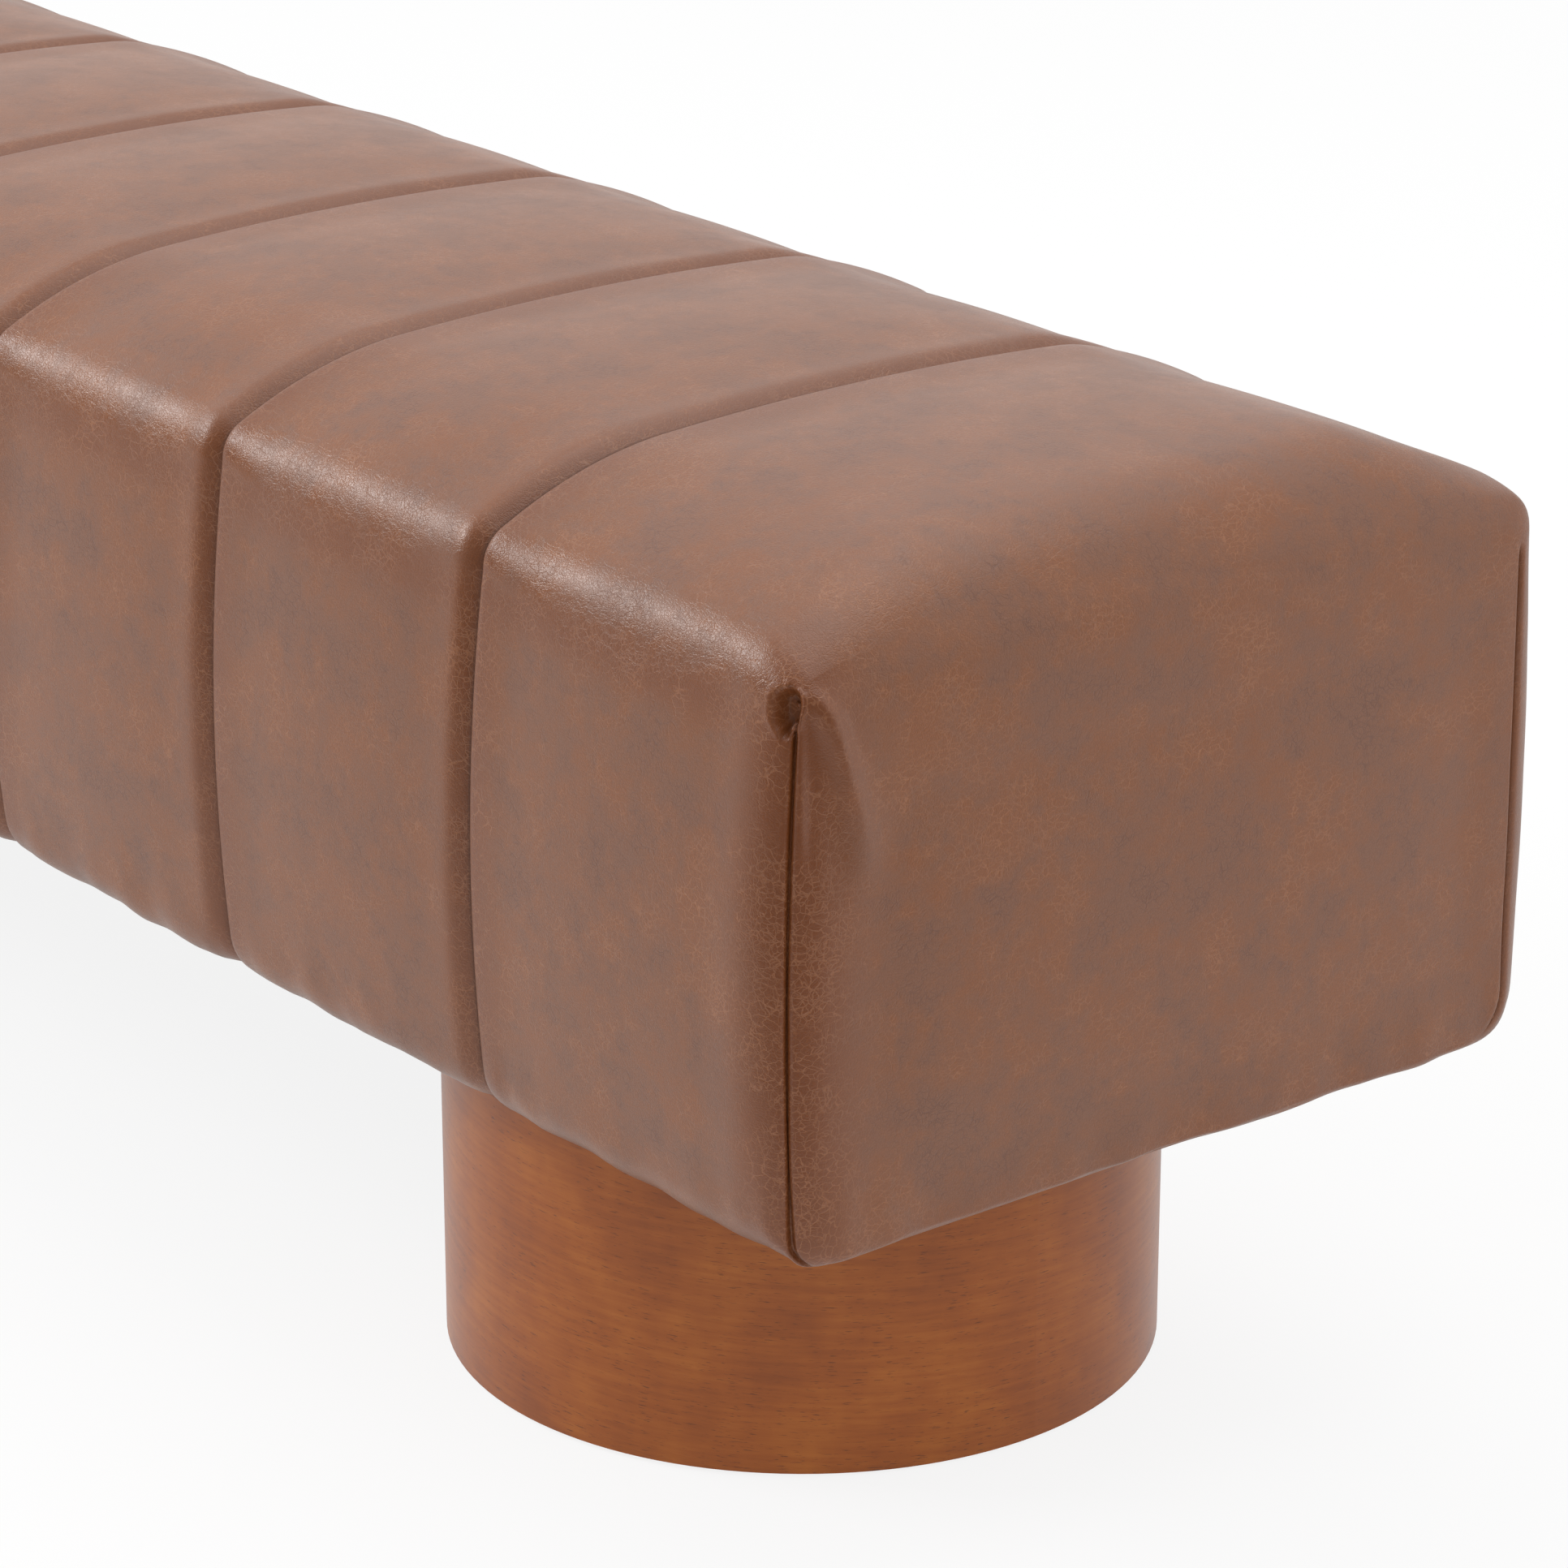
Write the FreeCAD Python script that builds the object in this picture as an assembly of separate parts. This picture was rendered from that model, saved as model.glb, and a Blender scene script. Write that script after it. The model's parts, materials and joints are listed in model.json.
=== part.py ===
import FreeCAD, Part
import math
import os

Vec = FreeCAD.Vector

# Channelled dining bench on two drum legs.
# X runs along the length, Y across the depth, Z up. The origin is on the floor under the middle.

# Overall sizes
channel_count = 6
channel_pitch = 190.0           # from seam to seam
end_panel_length = 208.0        # from the outermost seam to the end of the bench
bench_depth = 418.0             # across the swell of a channel
bench_height = 450.0            # floor to the crown of a channel
leg_height = 165.0              # floor to the underside of the seat

# Cover: sewn panels, drawn in at every seam and turned under the frame
cover_thickness = 1.4
seam_top_drop = 8.0
seam_side_drop = 6.0
channel_swell = 2.0
groove_run = 26.0               # from a seam to where its panel has filled out
seam_allowance = 4.0            # depth of the turned-in edge below the leather at a seam
turn_under = 18.0               # width of the strip that is stapled under the rails
soft_gap = 0.3
groove_station_shares = (0.0, 0.05, 0.2, 0.5, 1.0)

# Outline of the seat across its depth
side_bow = 4.0
side_lean = 4.0                 # how far the side leans in towards its top
top_corner_radius = 34.0
seam_corner_radius = 17.0
bottom_corner_radius = 24.0
shoulder_drop = 34.0            # from the crown down to the rounded top edge
shoulder_slope = 28.0           # degrees, where the shoulder meets the rounded edge
seam_shoulder_drop = 25.0       # the same drop along a seam
crown_drop = 4.0                # sag of the flatter middle of the crown
crown_width_share = 0.55

# Rounding of the two ends of the bench
end_roll_run = 60.0             # the top rolls over into the end face
end_roll_drop = 50.0
end_shoulder_drop = 10.0        # the end face is squarer at its upper corners
end_shoulder_slope = 12.0       # degrees
end_corner_run = 30.0           # upright corners between the sides and the end face
end_corner_inset = 26.0
end_bottom_run = 18.0
end_bottom_rise = 5.0
end_face_radius = 18.0
end_station_shares = (0.0, 0.3, 0.55, 0.75, 0.9, 1.0)

# Padding
end_pad_thickness = 12.0
side_foam_thickness = 28.0
end_foam_thickness = 21.0

# Timber frame
rail_thickness = 20.0
rail_height = 150.0
deck_thickness = 12.0
leg_board_thickness = 18.0
leg_board_reach = 150.0         # from the leg's axis towards the middle of the bench
corner_block_leg = 60.0
corner_block_height = 100.0

# Wood screws
screw_radius = 2.2
screw_head_radius = 4.4
screw_head_height = 3.0
screw_tip_height = 5.0
screw_length = 50.0
frame_screw_height_shares = (0.25, 0.75)
deck_screw_count = 5
deck_screw_edge = 60.0          # first deck screw from the end of its rail

# Dust cover
dust_cover_thickness = 0.6
dust_cover_margin = 8.0         # from the edge of the frame

# Drum legs
leg_setback = 49.0              # from the side of the seat in to the drum
leg_inset = 247.0               # from the end of the bench to the leg's axis
drum_wall = 12.0
top_disc_thickness = 18.0
bottom_ring_width = 40.0
bottom_ring_thickness = 15.0

# Glides under the bottom ring
glide_radius = 12.0
glide_thickness = 2.0
glide_edge = 0.6
glide_count = 4

# Bolts that hold a drum, their washers and tee nuts
bolt_count = 4
bolt_circle_diameter = 200.0
bolt_radius = 4.0
bolt_head_radius = 6.5
bolt_head_height = 8.0
bolt_socket_flats = 6.0
bolt_socket_depth = 4.0
bolt_reach = 4.0                # past the tee nut
bolt_hole_gap = 0.5
washer_radius = 11.0
washer_thickness = 1.8
tee_nut_flange_radius = 11.0
tee_nut_flange_thickness = 1.6
tee_nut_barrel_radius = 5.4
tee_nut_barrel_length = 13.0
thread_gap = 0.1

cut_overrun = 5.0

# Levels and reaches that the sizes above give
half_length = channel_count * channel_pitch / 2 + end_panel_length
half_depth = bench_depth / 2
seam_places = [(i - channel_count / 2) * channel_pitch for i in range(channel_count + 1)]
leg_x = half_length - leg_inset
seat_bottom = leg_height + dust_cover_thickness
frame_bottom = seat_bottom + cover_thickness
rail_top = frame_bottom + rail_height
deck_top = rail_top + deck_thickness
leg_board_top = seat_bottom + leg_board_thickness

# How far each layer lies inside the outer face of the cover: top, side, bottom, end
outer_face = (0, 0, 0, 0)
cover_lining = (cover_thickness,) * 4
pad_face = (cover_thickness + soft_gap,) * 4
core_top_inset = channel_swell + seam_top_drop + cover_thickness + seam_allowance
core_side_inset = channel_swell + seam_side_drop + cover_thickness + seam_allowance
core_end_inset = cover_thickness + end_pad_thickness
core_face = (core_top_inset, core_side_inset, cover_thickness, core_end_inset)
core_clear = tuple(inset - soft_gap for inset in core_face)

frame_half_depth = half_depth - core_side_inset - side_foam_thickness
frame_half_length = half_length - core_end_inset - end_foam_thickness
bay_half_depth = frame_half_depth - rail_thickness
bay_half_length = frame_half_length - rail_thickness
cross_rail_x = leg_x - leg_board_reach - rail_thickness / 2

drum_radius = half_depth - leg_setback
drum_inner_radius = drum_radius - drum_wall
drum_bottom = glide_thickness
top_disc_bottom = leg_height - top_disc_thickness
bolt_head_seat = top_disc_bottom - washer_thickness


def box(x0, x1, y0, y1, z0, z1):
    return Part.makeBox(x1 - x0, y1 - y0, z1 - z0, Vec(x0, y0, z0))


def rod(radius, place, z0, z1):
    return Part.makeCylinder(radius, z1 - z0, Vec(place.x, place.y, z0))


def arc(start, middle, end):
    return Part.Arc(start, middle, end).toShape()


def line(start, end):
    return Part.LineSegment(start, end).toShape()


def mirrored(shape):
    return shape.mirror(Vec(0, 0, 0), Vec(1, 0, 0))


def on_circle(radius, count, centre_x):
    """Places evenly round a circle about a leg's axis, set between the X and Y directions."""
    angles = [2 * math.pi * (i + 1 / 2) / count for i in range(count)]
    return [Vec(centre_x + radius * math.cos(a), radius * math.sin(a), 0) for a in angles]


def seat_outline(x, half_width, top, bottom, top_radius, bottom_radius, drop, slope_degrees):
    """The seat's closed outline at one place along its length: crown, shoulders, corners, sides, base."""
    slope = math.radians(slope_degrees)
    eighth = math.radians(45)
    half_turn = (math.pi / 2 - slope) / 2
    side_foot_y = half_width - side_bow
    side_head_y = side_foot_y - side_lean
    head_z = top - drop - top_radius * math.cos(slope)
    corner_y = side_head_y - top_radius
    base_y = side_foot_y - bottom_radius
    foot_z = bottom + bottom_radius

    base = Vec(x, base_y, bottom)
    base_bend = Vec(x, base_y + bottom_radius * math.sin(eighth), foot_z - bottom_radius * math.cos(eighth))
    foot = Vec(x, side_foot_y, foot_z)
    side = Vec(x, half_width, (foot_z + head_z) / 2)
    head = Vec(x, side_head_y, head_z)
    bend = Vec(x, corner_y + top_radius * math.cos(half_turn), head_z + top_radius * math.sin(half_turn))
    shoulder = Vec(x, corner_y + top_radius * math.sin(slope), top - drop)
    crown_edge = Vec(x, crown_width_share * half_width, top - crown_drop)
    crown = Vec(x, 0, top)

    # The shoulder arc leaves the rounded edge along its slope
    chord = crown_edge - shoulder
    swing = slope - math.atan2(chord.z, -chord.y)
    rise = chord.Length / 2 * math.tan(swing / 2)
    middle = (shoulder + crown_edge) / 2
    shoulder_rise = Vec(x, middle.y + rise * chord.z / chord.Length, middle.z - rise * chord.y / chord.Length)

    def other(point):
        return Vec(point.x, -point.y, point.z)

    right = [(base, base_bend, foot), (foot, side, head), (head, bend, shoulder)]
    right.append((shoulder, shoulder_rise, crown_edge))
    left = [(other(end), other(mid), other(start)) for start, mid, end in reversed(right)]
    edges = [line(other(base), base)]
    edges += [arc(*points) for points in right]
    edges.append(arc(crown_edge, crown, other(crown_edge)))
    edges += [arc(*points) for points in left]
    return Part.Wire(edges)


def dip(distance, run):
    """Share of a rounded edge's full drop at a distance from that edge."""
    share = min(max(1 - distance / run, 0), 1)
    return 1 - math.sqrt(1 - share * share)


def seat_section(x, seams, layer):
    """The outline of one layer of the seat, drawn in at the panel's seams and rounded at the end."""
    top_inset, side_inset, bottom_inset, end_inset = layer
    to_seam = min([abs(x - seam) for seam in seams] + [channel_pitch / 2])
    draw = dip(to_seam, groove_run)
    slack = channel_swell * (1 - to_seam / (channel_pitch / 2)) ** 2
    to_end = half_length - end_inset - abs(x)
    roll = dip(to_end, end_roll_run - end_inset)
    corner = dip(to_end, end_corner_run - end_inset)
    lift = dip(to_end, end_bottom_run - end_inset)

    top = bench_height - top_inset - slack - seam_top_drop * draw - (end_roll_drop - top_inset) * roll
    width = half_depth - side_inset - slack - seam_side_drop * draw - (end_corner_inset - side_inset) * corner
    bottom = seat_bottom + bottom_inset + (end_bottom_rise - bottom_inset) * lift
    radius = top_corner_radius
    radius += (seam_corner_radius - top_corner_radius) * draw + (end_face_radius - top_corner_radius) * corner
    drop = shoulder_drop
    drop += (seam_shoulder_drop - shoulder_drop) * draw + (end_shoulder_drop - shoulder_drop) * roll
    slope = shoulder_slope + (end_shoulder_slope - shoulder_slope) * roll
    base_radius = bottom_corner_radius - bottom_inset
    return seat_outline(x, width, top, bottom, radius - side_inset, base_radius, drop, slope)


def end_stations(end_inset):
    """Places along the rolled end, closer together towards the end face."""
    run = end_roll_run - end_inset
    start = half_length - end_roll_run
    return [start + run * math.sin(math.pi / 2 * share) for share in end_station_shares]


def groove_stations(trim):
    """Distances from a seam, starting where the layer is trimmed back from it."""
    return [trim + (groove_run - trim) * share for share in groove_station_shares]


def channel_layer(layer, trim):
    """One layer of the panel between the first two seams."""
    seams = seam_places[:2]
    near = groove_stations(trim)
    places = [seams[0] + s for s in near] + [sum(seams) / 2] + [seams[1] - s for s in reversed(near)]
    return Part.makeLoft([seat_section(x, seams, layer) for x in places], True, True)


def end_layer(layer, trim):
    """One layer of the right end panel: from its seam over the rolled end."""
    seam = seam_places[-1]
    rolled = end_stations(layer[3])
    near = [seam + s for s in groove_stations(trim)]
    places = near + [(near[-1] + rolled[0]) / 2] + rolled
    return Part.makeLoft([seat_section(x, (seam,), layer) for x in places], True, True)


def core_layer(layer):
    """The whole padded core, from end to end."""
    rolled = end_stations(layer[3])
    places = [-x for x in reversed(rolled)] + rolled
    return Part.makeLoft([seat_section(x, (), layer) for x in places], True, True)


def seam_window():
    """The core's outline, run past every seam: the turned-in edges of the covers stop at it."""
    reach = seam_places[-1] + cut_overrun
    return Part.makeLoft([seat_section(x, (), core_face) for x in (-reach, reach)], True, True)


def underside_opening():
    """Room inside the strip of cover that is turned under the rails."""
    reach_x = frame_half_length - turn_under
    reach_y = frame_half_depth - turn_under
    return box(-reach_x, reach_x, -reach_y, reach_y, seat_bottom - cut_overrun, frame_bottom)


def panel(layer_of, name):
    """The cover and the pad of one panel. Both stop at the core; the cover also keeps its turned-in edges."""
    outer = layer_of(outer_face, 0)
    lining = layer_of(cover_lining, cover_thickness)
    filling = layer_of(pad_face, cover_thickness + soft_gap)
    cover = outer.cut(underside_opening()).cut(lining).cut(seam_window())
    return {f"{name}_cover": cover, f"{name}_pad": filling.cut(core_layer(core_clear))}


def covers_and_pads():
    pieces = {}
    first = panel(channel_layer, "channel")
    for i in range(channel_count):
        for name, shape in first.items():
            pieces[f"{name}_{i + 1}"] = shape.translated(Vec(i * channel_pitch, 0, 0))
    right = panel(end_layer, "end")
    for name, shape in right.items():
        pieces[f"right_{name}"] = shape
        pieces[f"left_{name}"] = mirrored(shape)
    return pieces


def foams():
    core = core_layer(core_face)
    far_x = half_length + cut_overrun
    far_y = half_depth + cut_overrun
    low = seat_bottom - cut_overrun
    high = bench_height + cut_overrun
    seat = box(-far_x, far_x, -far_y, far_y, deck_top, high)
    front = box(-far_x, far_x, -far_y, -frame_half_depth, low, deck_top)
    back = box(-far_x, far_x, frame_half_depth, far_y, low, deck_top)
    end = box(frame_half_length, far_x, -frame_half_depth, frame_half_depth, low, deck_top)
    pieces = {"seat_foam": core.common(seat), "front_foam": core.common(front)}
    pieces["back_foam"] = core.common(back)
    pieces["right_end_foam"] = core.common(end)
    pieces["left_end_foam"] = mirrored(pieces["right_end_foam"])
    return pieces


def wood_screw(head, along):
    """A countersunk screw with its head flush at a place, driven along a direction."""
    profile = [Vec(0, 0, 0), Vec(screw_head_radius, 0, 0), Vec(screw_radius, 0, -screw_head_height)]
    profile.append(Vec(screw_radius, 0, screw_tip_height - screw_length))
    profile.append(Vec(0, 0, -screw_length))
    face = Part.Face(Part.makePolygon(profile + profile[:1]))
    screw = face.revolve(Vec(0, 0, 0), Vec(0, 0, 1), 360)
    turn = FreeCAD.Rotation(Vec(0, 0, -1), along)
    screw.Placement = FreeCAD.Placement(head, turn)
    return screw


def frame_screws():
    """Two screws through each long rail into the end of every rail that meets it."""
    end_rail_x = frame_half_length - rail_thickness / 2
    heights = [frame_bottom + rail_height * share for share in frame_screw_height_shares]
    screws = []
    for x in (-end_rail_x, -cross_rail_x, 0, cross_rail_x, end_rail_x):
        for z in heights:
            screws.append(wood_screw(Vec(x, -frame_half_depth, z), Vec(0, 1, 0)))
            screws.append(wood_screw(Vec(x, frame_half_depth, z), Vec(0, -1, 0)))
    return Part.makeCompound(screws)


def deck_screws():
    """A row of screws through the deck into each long rail."""
    y = frame_half_depth - rail_thickness / 2
    reach = frame_half_length - deck_screw_edge
    step = 2 * reach / (deck_screw_count - 1)
    rows = [(-reach + step * i, side) for i in range(deck_screw_count) for side in (-y, y)]
    return Part.makeCompound([wood_screw(Vec(x, side, deck_top), Vec(0, 0, -1)) for x, side in rows])


def corner_blocks():
    """A glued triangular block under the deck in each corner of the frame."""
    corner = Vec(bay_half_length, bay_half_depth, rail_top - corner_block_height)
    along_x = corner - Vec(corner_block_leg, 0, 0)
    along_y = corner - Vec(0, corner_block_leg, 0)
    face = Part.Face(Part.makePolygon([corner, along_x, along_y, corner]))
    right_back = face.extrude(Vec(0, 0, corner_block_height))
    right_front = right_back.mirror(Vec(0, 0, 0), Vec(0, 1, 0))
    right = [right_back, right_front]
    return Part.makeCompound(right + [mirrored(block) for block in right])


def leg_board():
    """The board that a drum is bolted to, between the right cross rail, the end rail and the long rails."""
    start = leg_x - leg_board_reach
    board = box(start, bay_half_length, -bay_half_depth, bay_half_depth, seat_bottom, leg_board_top)
    for place in bolt_places():
        board = board.cut(rod(tee_nut_barrel_radius, place, seat_bottom - cut_overrun, leg_board_top + cut_overrun))
    return board


def frame():
    screws = frame_screws()
    into_deck = deck_screws()
    rail = box(-frame_half_length, frame_half_length, -frame_half_depth, -bay_half_depth, frame_bottom, rail_top)
    across = box(-rail_thickness / 2, rail_thickness / 2, -bay_half_depth, bay_half_depth, frame_bottom, rail_top)
    pieces = {}

    def cross(x):
        return across.translated(Vec(x, 0, 0)).cut(screws)

    pieces["front_rail"] = rail.cut(screws).cut(into_deck)
    pieces["back_rail"] = rail.mirror(Vec(0, 0, 0), Vec(0, 1, 0)).cut(screws).cut(into_deck)
    end_rail_x = frame_half_length - rail_thickness / 2
    places = {"left_end": -end_rail_x, "left_cross": -cross_rail_x, "centre_cross": 0}
    places.update({"right_cross": cross_rail_x, "right_end": end_rail_x})
    for name, x in places.items():
        pieces[f"{name}_rail"] = cross(x)
    deck = box(-frame_half_length, frame_half_length, -frame_half_depth, frame_half_depth, rail_top, deck_top)
    pieces["seat_deck"] = deck.cut(into_deck)
    pieces["corner_blocks"] = corner_blocks()
    pieces["right_leg_board"] = leg_board()
    pieces["left_leg_board"] = mirrored(pieces["right_leg_board"])
    pieces["frame_screws"] = screws
    pieces["deck_screws"] = into_deck
    return pieces


def bolt_places():
    return on_circle(bolt_circle_diameter / 2, bolt_count, leg_x)


def dust_cover():
    """Black cloth under the frame, pierced for the bolts."""
    reach_x = frame_half_length - dust_cover_margin
    reach_y = frame_half_depth - dust_cover_margin
    sheet = box(-reach_x, reach_x, -reach_y, reach_y, leg_height, seat_bottom)
    for place in bolt_places():
        hole = rod(bolt_radius + bolt_hole_gap, place, leg_height - cut_overrun, seat_bottom + cut_overrun)
        sheet = sheet.cut(hole).cut(mirrored(hole))
    return sheet


def drum():
    """Bent plywood wall of a leg."""
    axis = Vec(leg_x, 0, 0)
    hollow = rod(drum_inner_radius, axis, drum_bottom - cut_overrun, leg_height + cut_overrun)
    return rod(drum_radius, axis, drum_bottom, leg_height).cut(hollow)


def top_disc():
    """Disc that closes the drum under the seat, drilled for the bolts."""
    disc = rod(drum_inner_radius, Vec(leg_x, 0, 0), top_disc_bottom, leg_height)
    for place in bolt_places():
        radius = bolt_radius + bolt_hole_gap
        disc = disc.cut(rod(radius, place, top_disc_bottom - cut_overrun, leg_height + cut_overrun))
    return disc


def bottom_ring():
    """Ring that keeps the open foot of the drum round and carries the glides."""
    axis = Vec(leg_x, 0, 0)
    ring_top = drum_bottom + bottom_ring_thickness
    bore = rod(drum_inner_radius - bottom_ring_width, axis, drum_bottom - cut_overrun, ring_top + cut_overrun)
    return rod(drum_inner_radius, axis, drum_bottom, ring_top).cut(bore)


def glides():
    """Round pads on the bottom ring, eased at their floor edge."""
    middle = drum_inner_radius - bottom_ring_width / 2
    pads = []
    for place in on_circle(middle, glide_count, leg_x):
        pad = rod(glide_radius, place, 0, glide_thickness)
        floor_edge = [edge for edge in pad.Edges if edge.CenterOfMass.z == 0]
        pads.append(pad.makeChamfer(glide_edge, floor_edge))
    return Part.makeCompound(pads)


def bolt(place):
    """Socket-head bolt, driven upwards from inside the drum."""
    end = leg_board_top + tee_nut_flange_thickness + bolt_reach
    head_bottom = bolt_head_seat - bolt_head_height
    head = rod(bolt_head_radius, place, head_bottom, bolt_head_seat)
    corner = bolt_socket_flats / math.sqrt(3)
    turns = [math.pi / 3 * i for i in range(7)]
    hexagon = [Vec(place.x + corner * math.cos(a), place.y + corner * math.sin(a), head_bottom) for a in turns]
    socket = Part.Face(Part.makePolygon(hexagon)).extrude(Vec(0, 0, bolt_socket_depth))
    return head.cut(socket).fuse(rod(bolt_radius, place, bolt_head_seat, end)).removeSplitter()


def washer(place):
    hole = rod(bolt_radius + bolt_hole_gap, place, bolt_head_seat - cut_overrun, top_disc_bottom + cut_overrun)
    return rod(washer_radius, place, bolt_head_seat, top_disc_bottom).cut(hole)


def tee_nut(place):
    """Threaded barrel in the leg board with its flange on top of it."""
    top = leg_board_top + tee_nut_flange_thickness
    flange = rod(tee_nut_flange_radius, place, leg_board_top, top)
    barrel = rod(tee_nut_barrel_radius, place, leg_board_top - tee_nut_barrel_length, leg_board_top)
    bore = rod(bolt_radius + thread_gap, place, leg_board_top - tee_nut_barrel_length - cut_overrun, top + cut_overrun)
    return flange.fuse(barrel).removeSplitter().cut(bore)


def legs():
    places = bolt_places()
    right = {"drum": drum(), "top_disc": top_disc(), "bottom_ring": bottom_ring(), "glides": glides()}
    right["bolts"] = Part.makeCompound([bolt(place) for place in places])
    right["washers"] = Part.makeCompound([washer(place) for place in places])
    right["tee_nuts"] = Part.makeCompound([tee_nut(place) for place in places])
    pieces = {f"right_leg_{name}": shape for name, shape in right.items()}
    pieces.update({f"left_leg_{name}": mirrored(shape) for name, shape in right.items()})
    return pieces


def main():
    pieces = {"dust_cover": dust_cover()}
    for group in (covers_and_pads(), foams(), frame(), legs()):
        pieces.update(group)
    os.makedirs("parts", exist_ok=True)
    for name, shape in pieces.items():
        shape.exportStep(f"parts/{name}.step")
        state = "valid" if shape.isValid() else "NOT VALID"
        print(f"{name}: {len(shape.Solids)} solids, {shape.Volume / 1000:.1f} cm3, {state}")


main()
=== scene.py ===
import bpy
import json
import math
import numpy as np
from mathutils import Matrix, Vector, noise

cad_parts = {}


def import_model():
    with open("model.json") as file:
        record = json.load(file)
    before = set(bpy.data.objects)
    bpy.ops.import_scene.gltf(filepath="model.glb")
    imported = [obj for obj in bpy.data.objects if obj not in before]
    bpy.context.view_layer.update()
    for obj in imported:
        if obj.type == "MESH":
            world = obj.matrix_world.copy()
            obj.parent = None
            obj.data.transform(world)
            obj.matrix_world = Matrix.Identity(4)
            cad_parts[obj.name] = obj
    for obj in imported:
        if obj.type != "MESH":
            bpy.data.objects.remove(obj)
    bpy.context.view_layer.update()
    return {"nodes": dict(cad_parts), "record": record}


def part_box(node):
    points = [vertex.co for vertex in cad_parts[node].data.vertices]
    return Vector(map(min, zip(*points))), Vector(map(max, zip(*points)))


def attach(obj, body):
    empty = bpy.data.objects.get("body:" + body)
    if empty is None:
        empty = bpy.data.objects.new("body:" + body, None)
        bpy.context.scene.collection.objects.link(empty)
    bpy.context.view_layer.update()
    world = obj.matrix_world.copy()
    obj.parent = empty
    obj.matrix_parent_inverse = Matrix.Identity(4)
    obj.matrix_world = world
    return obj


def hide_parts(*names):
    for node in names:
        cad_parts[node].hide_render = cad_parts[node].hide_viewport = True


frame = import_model()

MM = 0.001

# Places read from the frame
CHANNELS = sorted(name for name in frame["nodes"] if name.startswith("channel_cover"))
FIRST_LOW, FIRST_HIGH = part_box(CHANNELS[0])
END_LOW, END_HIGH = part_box("right_end_cover")
PITCH = FIRST_HIGH[0] - FIRST_LOW[0]
SEAT_TOP = FIRST_HIGH[2]
SEAT_BOTTOM = FIRST_LOW[2]
HALF_DEPTH = FIRST_HIGH[1]
HALF_LENGTH = END_HIGH[0]
LAST_SEAM = END_LOW[0]
DRUM_LOW, DRUM_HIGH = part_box("right_leg_drum")
DRUM_X = (DRUM_LOW[0] + DRUM_HIGH[0]) / 2
DRUM_RADIUS = (DRUM_HIGH[0] - DRUM_LOW[0]) / 2

# Outline of the seat across its depth
SIDE_BOW = 4 * MM
SIDE_LEAN = 5 * MM
BACK_RADIUS = 34 * MM
FRONT_RADIUS = 30 * MM
SEAM_RADIUS = 16 * MM
BASE_RADIUS = 24 * MM
BACK_SHOULDER = 34 * MM
FRONT_SHOULDER = 27 * MM
BACK_SEAM_SHARE = 0.75
FRONT_SEAM_SHARE = -0.15
SHOULDER_SLOPE = math.radians(28)
CROWN_DROP = 4 * MM
CROWN_SHARE = 0.55

# The base of the seat, and the opening in it inside the leather that is turned under
BASE_LEVEL = SEAT_BOTTOM + 2 * MM
OPENING_LEVEL = SEAT_BOTTOM + 8 * MM
OPENING_HALF_LENGTH = HALF_LENGTH - 66 * MM
OPENING_HALF_DEPTH = HALF_DEPTH - 60 * MM

# Points on one half of a ring round the seat, piece by piece from the base to the crown
BASE_STEPS, FOOT_STEPS, EDGE_STEPS, SHOULDER_STEPS, CROWN_STEPS = 18, 6, 12, 6, 9
PLAIN_SIDE = np.linspace(0, 1, 27)[1:]
PLEATED_SIDE = np.concatenate([np.linspace(0, 0.76, 17), np.linspace(0.76, 1, 22)[1:]])[1:]
CAP_ACROSS = 2 * (BASE_STEPS + FOOT_STEPS // 2)
CAP_UP = FOOT_STEPS // 2 + len(PLEATED_SIDE) + EDGE_STEPS // 2

# Seams between panels: one edge folds over crisply, the other slopes down to it
CRISP_DROP = 3.6 * MM
CRISP_RUN = 5 * MM
SLOPE_DROP = 8 * MM
SLOPE_START = 13 * MM
SLOPE_SOFTNESS = 1.6 * MM
SEAM_GAP = 0.8 * MM
SEAM_DEPTH = 7 * MM
SIDE_DRAW_SHARE = 0.85
PANEL_SLACK = 2.5 * MM
EDGE_DRAW_RUN = 42 * MM
LEATHER = 1.4 * MM
CRISP_STEPS = [s * MM for s in (0, 0.25, 0.7, 1.4, 2.4, 3.8, 5.5, 8, 11, 15, 20, 26)]
SLOPE_STEPS = [s * MM for s in (0, 0.8, 2.5, 4.5, 6.5, 8.8, 10.6, 12.2, 13.8, 15.6, 18, 21.5, 26)]
MIDDLE_STEP = 7.5 * MM
SEAMS = [-LAST_SEAM + PITCH * k for k in range(len(CHANNELS) + 1)]

# Rounded end of the seat
END_ROLL_RUN = 60 * MM
END_ROLL_DROP = 50 * MM
CORNER_RUN = 30 * MM
CORNER_INSET = 27 * MM
END_BASE_RUN = 10 * MM
END_BASE_RISE = 5 * MM
END_BASE_RADII = (21 * MM, 13 * MM)
END_DOME = 1 * MM
END_DOME_POWER = 0.7
END_SIDE_BEND = 0.05
SQUARE_CORNER_SHARE = 0.35
ROLL_STEPS = 5
END_FACE_TOP = 393 * MM
ROLL_SHARES = (0, 0.134, 0.53, 1)
ROLL_BACK_SHOULDERS = (0.416, 0.415, 0.408, 0.393)
ROLL_FRONT_SHOULDERS = (0.423, 0.420, 0.409, 0.393)
ROLL_RADII = (0.034, 0.026, 0.013, 0.010)
ROLL_SLOPES = np.radians((28, 26, 16, 10))

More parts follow.
